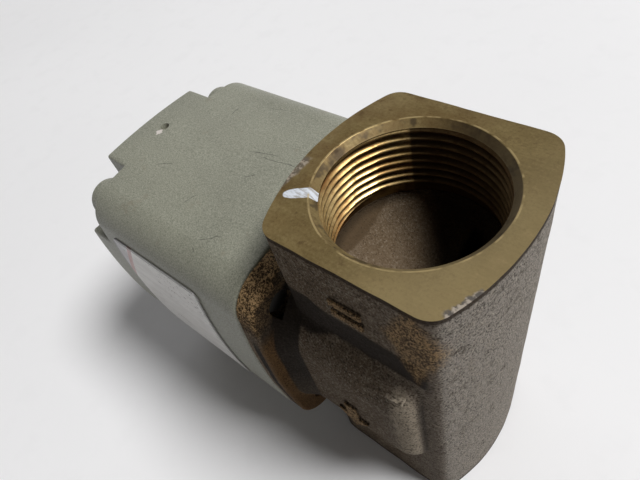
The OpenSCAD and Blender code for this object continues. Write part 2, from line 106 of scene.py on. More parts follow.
STEM_R, SPIGOT_R, SPIGOT_AT, SEAT_R = 17.5, 21.0, 22.7, 14.25    # bores along the actuator axis
CASING_HALF, CASING_R = 36.0, 11.0
CASING_BOW = CASING_HIGH[1] - CASING_HALF    # how far a side bows out in its middle
ARM = 18.7                                   # half width of the arms of the casing's end block
SCREW_R, HEAD_R, HEAD_H = 4.0, 6.5, 8.0
SCREW_AT = SCREWS_HIGH[1] - HEAD_R           # screw axes to each side of the actuator axis
SHOULDER = round(-SCREWS_LOW[0] - HEAD_H, 3)
BORE_R, BORE_END, RIM_R, RIM_OUT = 30.0, 88.7, 31.5, 34.5        # the cylinder and its rim
POCKET_R, WALL = 21.5, 5.0                   # the spring's pocket, the walls of the end block
SPRING_R, WIRE_R, TURNS, SPRING_LOW = 17.5, 1.9, 5.5, 58.5
CORNERS = [(sy, sz) for sy in (-1, 1) for sz in (-1, 1)]
# hairline scratches on the casing's top: x and y of the middle, half length, slant, width
SCRATCHES = [(-53.5, 5.5, 5.4, 0.28, 0.10), (-48.7, 4.6, 6.1, 0.11, 0.08),
             (-78.0, 16.6, 2.1, 1.7, 0.09), (-46.8, -24.8, 3.6, 0.61, 0.08),
             (-48.7, -29.3, 0.8, -0.35, 0.12), (-51.4, -3.5, 2.0, 0.75, 0.05),
             (-80.4, -12.0, 3.2, 0.5, 0.06), (-62.0, -18.0, 2.6, 1.2, 0.05),
             (-43.5, 5.2, 1.6, 0.1, 0.17), (-66.0, 24.0, 4.0, 0.2, 0.06)]
FLOOR_R, FLOOR_FLAT, FLOOR_RISE = 4.5, 1.6, 0.45     # in metres, the rise per square metre


# ---------------------------------------------------------------- distance fields
def blend_min(a, b, k):
    """Union of two distance fields with a fillet."""
    h = np.clip(0.5 + 0.5 * (b - a) / k, 0, 1)
    return b * (1 - h) + a * h - k * h * (1 - h)


def blend_max(a, b, k):
    """Intersection of two distance fields with a rounded edge."""
    return -blend_min(-a, -b, k)


def slab(v, lo, hi):
    """The layer of v from lo to hi."""
    return np.maximum(lo - v, v - hi)


def box2(u, v, half_u, half_v, r):
    """A rounded rectangle round the origin."""
    q = np.abs(u) - (half_u - r)
    w = np.abs(v) - (half_v - r)
    outside = np.hypot(np.maximum(q, 0), np.maximum(w, 0))
    return outside + np.minimum(np.maximum(q, w), 0) - r


def casing_field(y, z):
    """The bowed, round-cornered square of casing and flange, round the actuator axis."""
    u, v = np.abs(y), np.abs(z - AXIS_Z)
    flat = CASING_HALF - CASING_R
    bow_u = CASING_BOW * np.clip(1 - (v / flat) ** 2, 0, 1)
    bow_v = CASING_BOW * np.clip(1 - (u / flat) ** 2, 0, 1)
    return box2(np.maximum(u - bow_u, 0), np.maximum(v - bow_v, 0),
                CASING_HALF, CASING_HALF, CASING_R)


def waves(x, y, z, size, seed):
    """A slow, smooth unevenness from -1 to 1, for cast walls."""
    random = np.random.RandomState(seed)
    total = 0
    for _ in range(6):
        k = random.normal(size=3) / size
        total = total + np.sin(k[0] * x + k[1] * y + k[2] * z + random.uniform(0, 6.28))
    return total / 6


def body_field(x, y, z):
    """The outside of the body casting, before any machining."""
    shift = END_R - COLLAR
    arc = np.hypot(x + shift, y) - END_R
    arcs = np.maximum(arc, np.hypot(x - shift, y) - END_R)
    collar = blend_max(arcs, np.abs(y) - FLATS, 3.2)
    chamber = box2(y, z - AXIS_Z, CHAMBER_W / 2, CHAMBER_H / 2, CHAMBER_R)
    chamber = blend_max(chamber, x - CHAMBER_IN, 6.5)
    chamber = blend_max(chamber, -x - CHAMBER_OUT, 2.0)
    grow = 0.3 + 3.1 * np.clip((-x - CHAMBER_OUT) / (NECK_OUT - CHAMBER_OUT), 0, 1)
    neck = box2(y, z - AXIS_Z, CHAMBER_W / 2 + grow, CHAMBER_H / 2 + grow, CHAMBER_R + 1.6 * grow)
    neck = blend_max(neck, slab(-x, CHAMBER_OUT - 2, NECK_OUT + 2), 0.6)
    flange = blend_max(casing_field(y, z) + 0.15, NECK_OUT + x, 1.0)
    flange = np.maximum(flange, -x - JOINT - 1.5)
    f = blend_min(collar, chamber, 0.9)
    f = blend_min(f, neck, 0.8)
    f = blend_min(f, flange, 0.9)
    rough = 0.10 * waves(x, y, z, 3.2, 3) + 0.05 * waves(x, y, z, 1.3, 4)
    return np.maximum(f - rough + 0.1, slab(z, -1.5, HEIGHT + 1.5))


def passage_field(x, y, z):
    """The cast passages: the upper port opens behind the seat (x > 6), the lower one before it."""
    round_wall = np.hypot(x, y) - CAST_R
    floor = BOWL_LOW + BOWL_RISE * np.clip(np.hypot(x, y) / CAST_R, 0, 1) ** 2.4
    flare = (np.hypot(x, y) - CAST_R - np.clip(z - BOWL_LOW - BOWL_RISE + 0.4, 0, 2.4)) * 0.8
    upper = blend_max(flare, np.maximum(floor - z, z - HEIGHT + CAST_DEPTH - 0.5), 0.6)
    rear = blend_max(blend_max(round_wall, 6 - x, 3), slab(z, 36, HEIGHT - CAST_DEPTH + 0.5), 3)
    lower = blend_max(round_wall, slab(z, CAST_DEPTH - 0.5, 32.5), 3)
    front = blend_max(blend_max(np.hypot(x, y) - CAST_R, np.maximum(x, np.abs(y) - 16.5), 2),
                      slab(z, CAST_DEPTH - 0.5, AXIS_Z), 3)
    f = blend_min(blend_min(upper, rear, 1.5), blend_min(lower, front, 1.5), 0.1)
    return f - 0.12 * waves(x, y, z, 2.4, 8)


def solid_from(field, lo, hi, step, name):
    """Meshes the zero surface of field(x, y, z), in mm, and pulls its points onto it."""
    n = [int(math.ceil((h - l) / step)) + 1 for l, h in zip(lo, hi)]
    axes = [l + step * np.arange(m) for l, m in zip(lo, n)]
    f = field(*np.meshgrid(*axes, indexing="ij"))
    inside = f < 0
    cells = tuple(m - 1 for m in n)
    total = np.zeros((int(np.prod(cells)), 3))
    count = np.zeros(len(total))
    quads = []
    for a in range(3):
        b, c = (a + 1) % 3, (a + 2) % 3
        low, high = [slice(None)] * 3, [slice(None)] * 3
        low[a], high[a] = slice(None, -1), slice(1, None)
        low, high = tuple(low), tuple(high)
        where = np.argwhere(inside[low] != inside[high])
        where = where[(where[:, b] > 0) & (where[:, b] < n[b] - 1)
                      & (where[:, c] > 0) & (where[:, c] < n[c] - 1)]
        i, j, k = where.T
        f0, f1 = f[low][i, j, k], f[high][i, j, k]
        point = where.astype(float)
        point[:, a] += f0 / (f0 - f1)
        ring = []
        for db, dc in ((-1, -1), (0, -1), (0, 0), (-1, 0)):
            cell = where.copy()
            cell[:, b] += db
            cell[:, c] += dc
            flat = np.ravel_multi_index(cell.T, cells)
            for axis in range(3):
                total[:, axis] += np.bincount(flat, point[:, axis], len(total))
            count += np.bincount(flat, minlength=len(total))
            ring.append(flat)
        ring = np.stack(ring, 1)
        flip = f0 > 0
        ring[flip] = ring[flip][:, ::-1]
        quads.append(ring)
    used = np.flatnonzero(count > 0)
    points = total[used] / count[used, None] * step + np.array(lo)
    index = np.full(len(count), -1)
    index[used] = np.arange(len(used))
    faces = index[np.concatenate(quads)]
    eps = 0.05
    for _ in range(3):
        value = field(*points.T)
        grad = np.stack([(field(*(points + eps * e).T) - field(*(points - eps * e).T))
                         / (2 * eps) for e in np.eye(3)], 1)
        move = -grad * (value / np.maximum((grad ** 2).sum(1), 0.2))[:, None]
        length = np.linalg.norm(move, axis=1)
        points = points + move * np.minimum(1, 0.4 * step / np.maximum(length, 1e-9))[:, None]
    a, b, c, d = (points[faces[:, k]] for k in range(4))
    if np.einsum("ij,ij", a, np.cross(b, c) + np.cross(c, d)) < 0:
        faces = faces[:, ::-1]
    mesh = bpy.data.meshes.new(name)
    mesh.from_pydata((points * MM).tolist(), [], faces.tolist())
    return link(name, mesh)


# ---------------------------------------------------------------- mesh helpers
def link(name, mesh):
    obj = bpy.data.objects.new(name, mesh)
    bpy.context.scene.collection.objects.link(obj)
    return obj


def from_bmesh(name, bm):
    bmesh.ops.recalc_face_normals(bm, faces=bm.faces)
    mesh = bpy.data.meshes.new(name)
    bm.to_mesh(mesh)
    bm.free()
    return link(name, mesh)


def along(axis, at):
    """Turns a solid made round +Z to run along 'z', '-z', 'out' (-X) or 'y', from 'at' (mm)."""
    turn = {"z": Matrix.Identity(4), "-z": Matrix.Rotation(math.pi, 4, "X"),
            "out": Matrix.Rotation(-math.pi / 2, 4, "Y"),
            "y": Matrix.Rotation(-math.pi / 2, 4, "X")}[axis]
    return Matrix.Translation(Vector(at) * MM) @ turn


def lathe(name, profile, axis="z", at=(0, 0, 0), sides=128):
    """A solid of revolution from (radius, height) points in mm."""
    bm = bmesh.new()
    rings = []
    for r, h in profile:
        if r == 0:
            rings.append([bm.verts.new((0, 0, h * MM))])
            continue
        rings.append([])
        for s in range(sides):
            a = 2 * math.pi * s / sides
            rings[-1].append(bm.verts.new((r * MM * math.cos(a), r * MM * math.sin(a), h * MM)))
    for a, b in zip(rings, rings[1:] + ([] if profile[0][0] == 0 else [rings[0]])):
        for s in range(sides):
            n = (s + 1) % sides
            ring = [a[s % len(a)], a[n % len(a)], b[n % len(b)], b[s % len(b)]]
            ring = list(dict.fromkeys(ring))
            if len(ring) > 2:
                bm.faces.new(ring)
    bm.transform(along(axis, at))
    return from_bmesh(name, bm)


def cylinder(name, r, low, high, axis, at, sides=128):
    return lathe(name, [(0, low), (r, low), (r, high), (0, high)], axis, at, sides)


def block(name, lo, hi):
    bm = bmesh.new()
    bmesh.ops.create_cube(bm, size=1)
    lo, hi = Vector(lo) * MM, Vector(hi) * MM
    bm.transform(Matrix.Translation((lo + hi) / 2) @ Matrix.Diagonal((*(hi - lo), 1)))
    return from_bmesh(name, bm)


def apply_modifiers(obj):
    graph = bpy.context.evaluated_depsgraph_get()
    mesh = bpy.data.meshes.new_from_object(obj.evaluated_get(graph))
    old = obj.data
    obj.modifiers.clear()
    obj.data = mesh
    bpy.data.meshes.remove(old)
    mesh.name = obj.name


def cut(target, tool, operation="DIFFERENCE"):
    """Applies a boolean to target and deletes the tool."""
    mod = target.modifiers.new("cut", "BOOLEAN")
    mod.operation = operation
    mod.solver = "MANIFOLD"
    mod.object = tool
    apply_modifiers(target)
    bpy.data.objects.remove(tool)


def paint(obj, *materials):
    """Gives obj these materials, with every face on the first."""
    obj.data.materials.clear()
    for material in materials:
        obj.data.materials.append(material)
    obj.data.polygons.foreach_set("material_index", [0] * len(obj.data.polygons))


def smooth(obj, degrees=35):
    obj.data.polygons.foreach_set("use_smooth", [True] * len(obj.data.polygons))
    obj.data.set_sharp_from_angle(angle=math.radians(degrees))


def thread_profile(depth):
    """Radius of the port wall at its highest crest line for a place along the pitch, 0 to 1."""
    level = abs((depth % 1) - 0.5) * 2
    shape = min(max((level - 0.14) / 0.72, 0), 1)
    shape = shape * shape * (3 - 2 * shape) * 0.45 + shape * 0.55
    return MINOR + (MAJOR - MINOR) * shape


def port_cutter(name, at, axis, sides=192, per_pitch=16):
    """Everything machined in one port: countersink, right-hand thread and undercut.
    It runs down from its mouth at z 0."""
    rows = [(MOUTH_R + 1, 1), (MOUTH_R, 0), (MOUTH_R - 0.25, -0.1),
            (MINOR + 0.35, 0.15 - THREAD_START), (MINOR + 0.1, -THREAD_START)]
    count = int(round((THREAD_END - THREAD_START) / PITCH * per_pitch))
    step = (THREAD_END - THREAD_START) / count
    bm = bmesh.new()
    rings = [[(r, z)] * sides for r, z in rows]
    for row in range(1, count + 1):
        depth = THREAD_START + row * step
        grow = min(row * step / (0.5 * PITCH), 1)
        ring = []
        for s in range(sides):
            r = thread_profile(depth / PITCH + s / sides)
            ring.append((MINOR + 0.1 * (1 - grow) + (r - MINOR) * grow, -depth))
        rings.append(ring)
    rings += [[(r, z)] * sides for r, z in
              ((UNDERCUT_R, -THREAD_END - 0.3), (UNDERCUT_R, -CAST_DEPTH))]
    verts = []
    for ring in rings:
        verts.append([bm.verts.new((r * MM * math.cos(2 * math.pi * s / sides),
                                    r * MM * math.sin(2 * math.pi * s / sides), z * MM))
                      for s, (r, z) in enumerate(ring)])
    for a, b in zip(verts, verts[1:]):
        for s in range(sides):
            n = (s + 1) % sides
            bm.faces.new([a[s], a[n], b[n], b[s]])
    bm.faces.new(verts[0])
    bm.faces.new(verts[-1][::-1])
    bm.transform(along(axis, at))
    return from_bmesh(name, bm)


def put(obj, body, node=None):
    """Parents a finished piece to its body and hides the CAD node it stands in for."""
    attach(obj, body)
    if node:
        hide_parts(*([node] if isinstance(node, str) else node))


# ---------------------------------------------------------------- materials
def srgb(*rgb):
    """Linear colour from 0-255 screen values."""
    return tuple(((c / 255 + 0.055) / 1.055) ** 2.4 if c > 10 else c / 3294.6 for c in rgb) + (1,)


def shade_side(x, y):
    """How far a place lies towards +X +Y, the side of the upper port that the photo has dark."""
    return x * 0.83 + y * 0.56


class Value:
    """The output of a node. Python's arithmetic on it adds math nodes to its material."""

    def __init__(self, owner, socket):
        self.owner, self.socket = owner, socket

    def __add__(self, other):
        return self.owner.math("ADD", self, other)

    def __radd__(self, other):
        return self.owner.math("ADD", other, self)

    def __sub__(self, other):
        return self.owner.math("SUBTRACT", self, other)

    def __rsub__(self, other):
        return self.owner.math("SUBTRACT", other, self)

    def __mul__(self, other):
        return self.owner.math("MULTIPLY", self, other)

    def __truediv__(self, other):
        return self.owner.math("DIVIDE", self, other)

    def __pow__(self, other):
        return self.owner.math("POWER", self, other)

    def __abs__(self):
        return self.owner.math("ABSOLUTE", self)


class Paint:
    """A small helper that adds nodes to one procedural material."""

    def __init__(self, name, **sockets):
        self.material = bpy.data.materials.new(name)
        self.material.use_nodes = True
        self.tree = self.material.node_tree
        self.shader = self.tree.nodes["Principled BSDF"]
        for key, value in sockets.items():
            self.shader.inputs[key.replace("_", " ")].default_value = value
        self.place = Value(self, self.add("ShaderNodeTexCoord").outputs["Object"])

    def add(self, kind, **settings):
        node = self.tree.nodes.new(kind)
        for key, value in settings.items():
            setattr(node, key, value)
        return node

    def feed(self, socket, value):
        """Links a value of this material to the socket, or sets the socket to a constant."""
        if isinstance(value, Value):
            self.tree.links.new(value.socket, socket)
        else:
            socket.default_value = value

    def mapped(self, scale=(1, 1, 1), rotation=(0, 0, 0), place=None):
        node = self.add("ShaderNodeMapping")
        self.feed(node.inputs["Vector"], place or self.place)
        node.inputs["Scale"].default_value = scale
        node.inputs["Rotation"].default_value = rotation
        return Value(self, node.outputs[0])

    def noise(self, scale, detail=3.0, roughness=0.55, place=None, distortion=0.0):
        node = self.add("ShaderNodeTexNoise")
        self.feed(node.inputs["Vector"], place or self.place)
        for key, value in (("Scale", scale), ("Detail", detail), ("Roughness", roughness),
                           ("Distortion", distortion)):
            node.inputs[key].default_value = value
        return Value(self, node.outputs["Fac"])

    def cells(self, scale, feature="F1"):
        """Distance to the nearest of many scattered points."""
        node = self.add("ShaderNodeTexVoronoi", feature=feature)
        self.feed(node.inputs["Vector"], self.place)
        node.inputs["Scale"].default_value = scale
        return Value(self, node.outputs["Distance"])

    def step(self, value, low, high, to_low=0.0, to_high=1.0):
        """Maps value from low..high to to_low..to_high, clamped and smooth."""
        node = self.add("ShaderNodeMapRange", interpolation_type="SMOOTHSTEP")
        self.feed(node.inputs["Value"], value)
        for key, number in (("From Min", low), ("From Max", high), ("To Min", to_low),
                            ("To Max", to_high)):
            node.inputs[key].default_value = number
        return Value(self, node.outputs["Result"])

    def math(self, operation, a, b=0.0):
        node = self.add("ShaderNodeMath", operation=operation)
        for socket, value in zip(node.inputs, (a, b, 0.0)):
            self.feed(socket, value)
        return Value(self, node.outputs[0])

    def most(self, a, b):
        return self.math("MAXIMUM", a, b)

    def radius(self, x, y):
        """Distance from the Z axis."""
        return self.math("SQRT", x * x + y * y)

    def mix(self, factor, a, b):
        """Colour a where factor is 0, colour b where it is 1."""
        node = self.add("ShaderNodeMix", data_type="RGBA")
        self.feed(node.inputs[0], factor)
        self.feed(node.inputs[6], a)
        self.feed(node.inputs[7], b)
        return Value(self, node.outputs[2])

    def split(self):
        """The x, y and z of the place, in mm."""
        scaled = self.add("ShaderNodeVectorMath", operation="SCALE")
        self.feed(scaled.inputs[0], self.place)
        scaled.inputs["Scale"].default_value = 1 / MM
        node = self.add("ShaderNodeSeparateXYZ")
        self.feed(node.inputs[0], Value(self, scaled.outputs[0]))
        return [Value(self, out) for out in node.outputs]

    def bump(self, height, strength, distance, normal=None):
        node = self.add("ShaderNodeBump")
        self.feed(node.inputs["Height"], height)
        node.inputs["Strength"].default_value = strength
        node.inputs["Distance"].default_value = distance
        if normal:
            self.feed(node.inputs["Normal"], normal)
        return Value(self, node.outputs[0])

    def set(self, **sockets):
        for key, value in sockets.items():
            self.feed(self.shader.inputs[key.replace("_", " ")], value)
        return self.material


def cast_shade_and_strips(p, base, place, patch, grit, near):
    """Painted shade in the valley below the collar, round the neck and in the groove beside the chamber's end;
    along the flange's lower edge a black band between two paler, speckled strips."""
    x, y, z = place
    # painted shade in the valley below the collar's near flank
    wide = p.step(x, -6, -14, 0, 2.5)
    valley = abs(z - (83.8 + patch * 2)) - wide
    valley = p.step(valley, 5.6, 4.0) * (p.step(y, -22, -24) * p.step(x, 19.0, 17.0))
    # painted shade in the groove beside the chamber's end
    groove = p.step(x, 15.2, 16.6) * p.step(y, -25.3, -26.2)
    # painted shade round the neck and on the flange's front face
    throat = p.step(abs(x + 20.2), 4.0, 3.2) * p.step(z + patch * 8, 46, 62, 0.75, 1)
    throat = throat * p.step(z, 91, 86)
    lower = near * p.step(z + patch * 6, 80, 72)
    # a black band across the lower part of the flange's edge on the near side
    band = x + 26.3 + (patch - 0.5) * 1.6
    band = p.step(abs(band), 1.7, 0.9) * lower
    dirt_and_shade = p.most(p.most(valley, throat), p.most(groove, band))
    base = p.mix(dirt_and_shade * 0.93, base, srgb(26, 20, 15))
    # a brown ridge and a pale grey strip, speckled, on the flange's lower edge
    ridge = p.step(abs(x + 24.0), 1.3, 0.6) * lower
    ridge = ridge * p.step(grit, 0.36, 0.6, 0.3, 0.9)
    base = p.mix(ridge, base, srgb(112, 84, 52))
    strip = p.step(x, -27.6, -28.4) * lower * p.step(grit, 0.36, 0.6, 0.2, 0.7)
    return p.mix(strip, base, srgb(146, 130, 112))


def cast_wear(p, base, place, patch, grit, near):
    """Warmer, speckled metal where the near corner, the flange and the raised marks are rubbed."""
    x, y, z = place
    spot = abs(x - 15.5) + abs(z - 97) * 0.45
    worn = p.step(spot + patch * 5, 11, 7) * near
    flange = p.step(x, -23.4, -24.0) * p.step(z, 74, 84)
    flange = flange * p.most(p.step(abs(y), 15.5, 17), p.step(x, -26.2, -26.5))
    worn = p.most(worn, flange)
    marks = p.step(y, -25.75, -25.95) * p.step(z, 86, 88)
    arrow = p.step(y, -31.3, -31.5) * p.step(x, -14, -12)
    worn = p.most(worn, p.most(arrow, marks) * 0.9)
    speck = p.step(grit + patch * 0.3, 0.59, 0.75)
    base = p.mix(worn * 0.55, base, srgb(74, 56, 34))
    return p.mix(worn * speck, base, srgb(184, 152, 110))


def cast_ports(p, base, place):
    """Warmer sand-cast floors inside the ports, with painted shade: black where they meet the wall and over their
    +X +Y side.
    """
    x, y, z = place
    bore = p.radius(x, y)
    inside = p.step(bore, 21.6, 21.3) * p.step(abs(z - HEIGHT / 2), 34, 33)
    base = p.mix(inside * 0.6, base, srgb(114, 94, 70))
    side = shade_side(x, y)
    # painted shade: black round the floor's rim and over the floor's +X +Y side
    ring = p.most(p.step(bore, 18.6, 20.6, 0, 0.6), p.step(side, -2, 7))
    return p.mix(inside * (ring * 0.86), base, srgb(24, 20, 15))


def cast_bronze():
    """Sand-cast bronze, gone grey-brown: gritty, with dark pores and pale rubbed grains."""
    p = Paint("cast_bronze", Metallic=0.03, Specular_IOR_Level=0.11)
    x, y, z = p.split()
    broad = p.noise(70, 3, 0.6)
    patch = p.noise(330, 4, 0.7)
    grit = p.noise(1900, 3, 0.75)
    dust = p.noise(3800, 2, 0.6)
    pores = p.cells(1050)
    base = p.mix(p.step(broad, 0.36, 0.64), srgb(106, 95, 81), srgb(128, 117, 103))
    # painted sheen: paler and greyer towards +X, on the side the key lights; then a brown-black film on the near
    # side
    base = p.mix(p.step(x, 2, 20, 0, 0.85), base, srgb(158, 152, 145))
    near = p.step(y, -20, -25)
    # the near-side film is partly dirt and partly painted shade on the side turned from the light
    film_and_shade = p.step(y + patch * 1.6, -22.4, -24.0, 0, 0.62)
    base = p.mix(film_and_shade, base, srgb(96, 80, 63))
    # painted highlight: paler on the rounded edge of the chamber's end, which faces the key light
    painted_edge_highlight = p.step(y, -26.6, -28.2)
    base = p.mix(p.step(x, 9.5, 12.0, 0, 0.72) * painted_edge_highlight, base, srgb(178, 166, 148))
    base = p.mix(p.step(patch, 0.50, 0.70, 0, 0.40), base, srgb(150, 140, 126))
    base = p.mix(p.step(patch, 0.47, 0.33, 0, 0.55), base, srgb(70, 60, 48))
    base = p.mix(p.step(grit, 0.50, 0.36, 0, 0.9), base, srgb(48, 41, 34))
    pale = p.step(grit, 0.54, 0.68, 0, 0.8) * p.step(film_and_shade, 0, 0.8, 1, 0.55)
    base = p.mix(pale, base, srgb(188, 178, 162))
    base = cast_shade_and_strips(p, base, (x, y, z), patch, grit, near)
    base = cast_wear(p, base, (x, y, z), patch, grit, near)
    base = cast_ports(p, base, (x, y, z))
    # darker in a thin line just below the edges of the milled faces
    rim = abs(z - HEIGHT / 2)
    base = p.mix(p.step(rim + patch, HEIGHT / 2 - 1.3, HEIGHT / 2 - 0.5, 0, 0.9), base,
                 srgb(46, 34, 22))
    base = p.mix(p.step(pores, 0.20, 0.05, 0, 0.8), base, srgb(28, 23, 19))
    bump = p.bump(patch * 0.9 + grit * 0.5, 0.9, 0.0007)
    bump = p.bump(dust, 0.4, 0.0002, bump)
    return p.set(Base_Color=base, Roughness=p.step(grit, 0.35, 0.7, 0.88, 0.7), Normal=bump)


def machined(p, dull, fair, pale, spot, rough_low, lay_scale):
    """Colour, roughness and bump of machined bronze, with the lay of the cutter."""
    cloud = p.noise(75, 4, 0.6)
    spots = p.noise(420, 3, 0.6)
    lay = p.noise(90, 3, 0.6, p.mapped(lay_scale, (0, 0, 0.5)))
    base = p.mix(p.step(cloud, 0.36, 0.64), dull, fair)
    base = p.mix(p.step(lay, 0.45, 0.66, 0, 0.16), base, pale)
    base = p.mix(p.step(spots, 0.58, 0.72, 0, 0.55), base, spot)
    fine = p.noise(1500, 3, 0.75)
    base = p.mix(p.step(fine, 0.50, 0.34, 0, 0.40), base, spot)
    base = p.mix(p.step(fine, 0.53, 0.68, 0, 0.35), base, pale)
    rough = p.step(cloud, 0.35, 0.65, rough_low + 0.06, rough_low)
    rough = rough + p.step(spots, 0.5, 0.75, 0, 0.14)
    return base, rough, p.bump(spots, 0.06, 0.0002, p.bump(lay, 0.06, 0.0002))


def marker_stroke(p, x, y, top):
    """The stroke of white marker paint across the countersink, 1 where it covers the metal."""
    wave = (p.noise(330, 3, 0.6) - 0.5) * 2.0
    across, along = x + 18.9, y + 12.4
    u = across * 0.84 + along * 0.54
    v = along * 0.84 - across * 0.54
    v = (v + wave * 0.25) / 1.45
    u = (u + wave * 0.4) / 4.3
    power = abs(u) ** 3.0 + abs(v) ** 2.4
    stroke = p.step(power, 1.12, 0.88) * top
    streak = p.noise(300, 3, 0.65, p.mapped((1, 5, 1), (0, 0, -0.57)))
    return stroke * p.step(streak, 0.36, 0.56, 0.45, 0.95)


def machined_face():
    """The milled port faces, with brown wear, a stray paint stroke and bruised edges."""
    p = Paint("machined_face")
    x, y, z = p.split()
    base, rough, normal = machined(p, srgb(112, 95, 57), srgb(134, 116, 74),
                                   srgb(156, 138, 96), srgb(84, 64, 36), 0.38, (1, 18, 1))
    # browner towards -X, cleaner towards +X -Y
    patches = p.noise(120, 4, 0.65)
    left = p.step(y * 0.5 - x, -6, 26)
    base = p.mix(p.step(patches, 0.36, 0.64) * (left * 0.45 + 0.08), base, srgb(100, 74, 38))
    right = p.step(x - y * 0.4, 0, 28)
    base = p.mix(right * 0.5, base, srgb(168, 150, 110))
    top = p.step(z, HEIGHT - 2.7, HEIGHT - 2.1)
    ragged = (p.noise(420, 3, 0.65) - 0.5) * 2.2
    # bruised metal on the edge towards +X -Y
    reach = x * 0.93 - y * 0.37 - 27.3
    run = abs(x * 0.37 + y * 0.93 + 9.4)
    chip = p.step(reach + ragged, -0.5, 0.1) * p.step(run + ragged, 4.6, 3.6)
    # a grey graze along the edge towards -X
    graze = p.step(x + 24.6 + ragged, 1.2, 0.2) * p.step(abs(y + 9), 6.5, 5)
    chip = p.most(chip, graze * 0.7) * top
    base = p.mix(chip, base, p.mix(p.step(p.noise(700, 2, 0.6), 0.45, 0.6), srgb(104, 98, 92),
                                   srgb(188, 176, 162)))
    stroke = marker_stroke(p, x, y, top)
    base = p.mix(stroke, base, srgb(214, 220, 230))
    # the countersink is duller and marked
    cone = p.step(z, HEIGHT - 0.05, HEIGHT - 0.2) * (1 - stroke)
    base = p.mix(cone * p.step(p.noise(160, 3, 0.65), 0.5, 0.62, 0, 0.7), base, srgb(50, 38, 22))
    # painted shade and a painted dark reflection on the countersink's +X +Y side
    side = shade_side(x, y)
    base = p.mix(cone * p.step(side, 2, 15, 0, 0.75), base, srgb(48, 36, 20))
    bore = p.radius(x, y)
    # painted highlight: a thin bright line round the countersink's outer edge
    outline = p.step(abs(bore - MOUTH_R), 0.28, 0.12, 0, 0.7)
    base = p.mix(outline * p.step(p.noise(200, 3, 0.6), 0.4, 0.55), base, srgb(190, 168, 120))
    rough = rough + cone * 0.12
    metal = (1 - stroke) * (0.72 - cone * 0.22)
    return p.set(Base_Color=base, Roughness=rough + stroke * 0.2, Metallic=metal, Normal=normal)


def thread_metal():
    """Cut threads, bright on the crests, with painted shade in the grooves and painted shade and a dark reflection
    over one side.
    """
    p = Paint("thread_metal", Metallic=0.9)
    x, y, z = p.split()
    base, rough, normal = machined(p, srgb(176, 147, 94), srgb(200, 172, 118),
                                   srgb(222, 202, 150), srgb(118, 86, 48), 0.30, (1, 1, 9))
    radius = p.radius(x, y)
    # painted shade: darker in the grooves between the crests
    dirt_and_shade = p.step(radius, MINOR + 0.1, MAJOR - 0.35)
    dirt_and_shade = dirt_and_shade * p.step(p.noise(110, 3, 0.6), 0.30, 0.60, 0.55, 0.95)
    base = p.mix(dirt_and_shade, base, srgb(70, 48, 26))
    brown = p.step(p.noise(70, 3, 0.6), 0.46, 0.68, 0, 0.6)
    base = p.mix(brown, base, srgb(128, 82, 38))
    side = shade_side(x, y)
    # painted shade and a painted dark reflection over the thread's +X +Y half
    dark = p.step(side, -0.6, 0.4) * p.step(y, -12, 6)
    dark = dark * p.step(z, 60, 70, 0, 0.88)
    base = p.mix(dark, base, srgb(54, 36, 20))
    rough = rough + p.most(dirt_and_shade, dark) * 0.25
    return p.set(Base_Color=base, Roughness=rough, Normal=normal)


def casing_paint(name, worn, scratches=()):
    """Grey-green satin paint with a fine texture, scuffs and small scratches."""
    p = Paint(name, Metallic=0.0)
    x, y, z = p.split()
    cloud = p.noise(24, 4, 0.6)
    grain = p.noise(2600, 3, 0.75)
    peel = p.cells(2400, feature="SMOOTH_F1")
    base = p.mix(p.step(cloud, 0.35, 0.65), srgb(128, 129, 115), srgb(138, 139, 124))
    base = p.mix(p.step(grain, 0.48, 0.64, 0, 0.65), base, srgb(162, 161, 147))
    base = p.mix(p.step(grain, 0.49, 0.34, 0, 0.65), base, srgb(92, 93, 81))
    if scratches:
        shake = (p.noise(240, 3, 0.6) - 0.5) * 2.2
        for mx, my, half, slant, wide in scratches:
            c, s = math.cos(slant), math.sin(slant)
            u = abs(x * c + y * s - (mx * c + my * s))
            v = abs(y * c - x * s - (my * c - mx * s) + shake)
            line = p.step(u, half, half * 0.6) * p.step(v, wide + 0.1, wide * 0.4)
            line = line * p.step(z, 88, 89, 0, 0.8)
            base = p.mix(line, base, srgb(66, 66, 58))
    # a chip beside the vent hole
    chip = abs(x + (VENT_AT - 0.6)) + abs(y + 2.6) * 0.8
    chip = chip + (p.noise(700, 2, 0.6) - 0.5) * 2
    chip = p.step(chip, 1.5, 1.1) * p.step(z, 90, 91)
    base = p.mix(chip, base, srgb(206, 198, 192))
    dirt_and_shade = p.step(p.noise(160, 4, 0.7), 0.6, 0.74) * (0.35 * worn)
    base = p.mix(dirt_and_shade, base, srgb(112, 96, 74))
    height = grain * 0.5 + peel * 0.6
    return p.set(Base_Color=base, Roughness=p.step(grain, 0.35, 0.65, 0.50, 0.40),
                 Normal=p.bump(height, 0.35, 0.00025))


